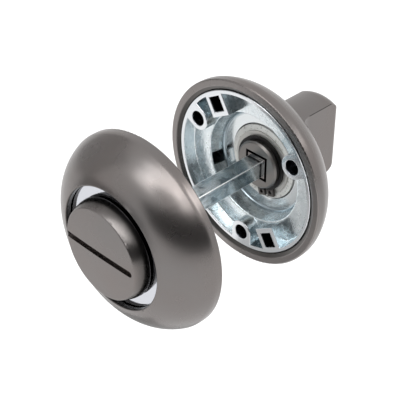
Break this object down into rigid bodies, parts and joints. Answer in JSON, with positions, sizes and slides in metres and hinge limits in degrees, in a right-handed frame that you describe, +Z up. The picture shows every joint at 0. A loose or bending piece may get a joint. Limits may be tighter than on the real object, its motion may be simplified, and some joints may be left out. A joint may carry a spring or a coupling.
{
  "type": "bathroom thumb turn lock",
  "caption": "Bathroom door turn set: thumb turn on a domed round rose inside, coin-slot release on a matching rose outside, joined through the door by a square spindle.",
  "frame": {"origin": "centre of the inside rose's three screw holes, on the door's inside face", "axes": "+Y along the spindle from the door into the bathroom, +Z up, +X to the right seen from outside the bathroom"},
  "size_m": [0.053, 0.0822, 0.053],
  "materials": {
    "satin_nickel": "satin dark nickel plating",
    "chrome_casting": "bright chrome plated die casting",
    "zinc_bar": "bright zinc plated drawn bar",
    "sleeve_metal": "satin",
    "clip_steel": "dark phosphated spring steel",
    "nylon": "natural nylon"
  },
  "bodies": {
    "roses": {"inside_cover": "satin_nickel", "inside_base": "chrome_casting", "inside_bush": "nylon", "outside_cover": "satin_nickel", "outside_base": "chrome_casting", "outside_bush": "nylon"},
    "turn": {"thumb_turn": "satin_nickel", "inside_sleeve": "sleeve_metal", "inside_washer": "clip_steel", "inside_circlip": "clip_steel", "spindle": "zinc_bar", "coin_turn": "satin_nickel", "outside_sleeve": "sleeve_metal", "outside_washer": "clip_steel", "outside_circlip": "clip_steel"}
  },
  "joints": [
    {"name": "turn_spindle", "type": "hinge", "parent": "roses", "child": "turn", "pos_m": [0, 0, 0], "axis": [0, 1, 0], "range_deg": [0, 90]}
  ]
}
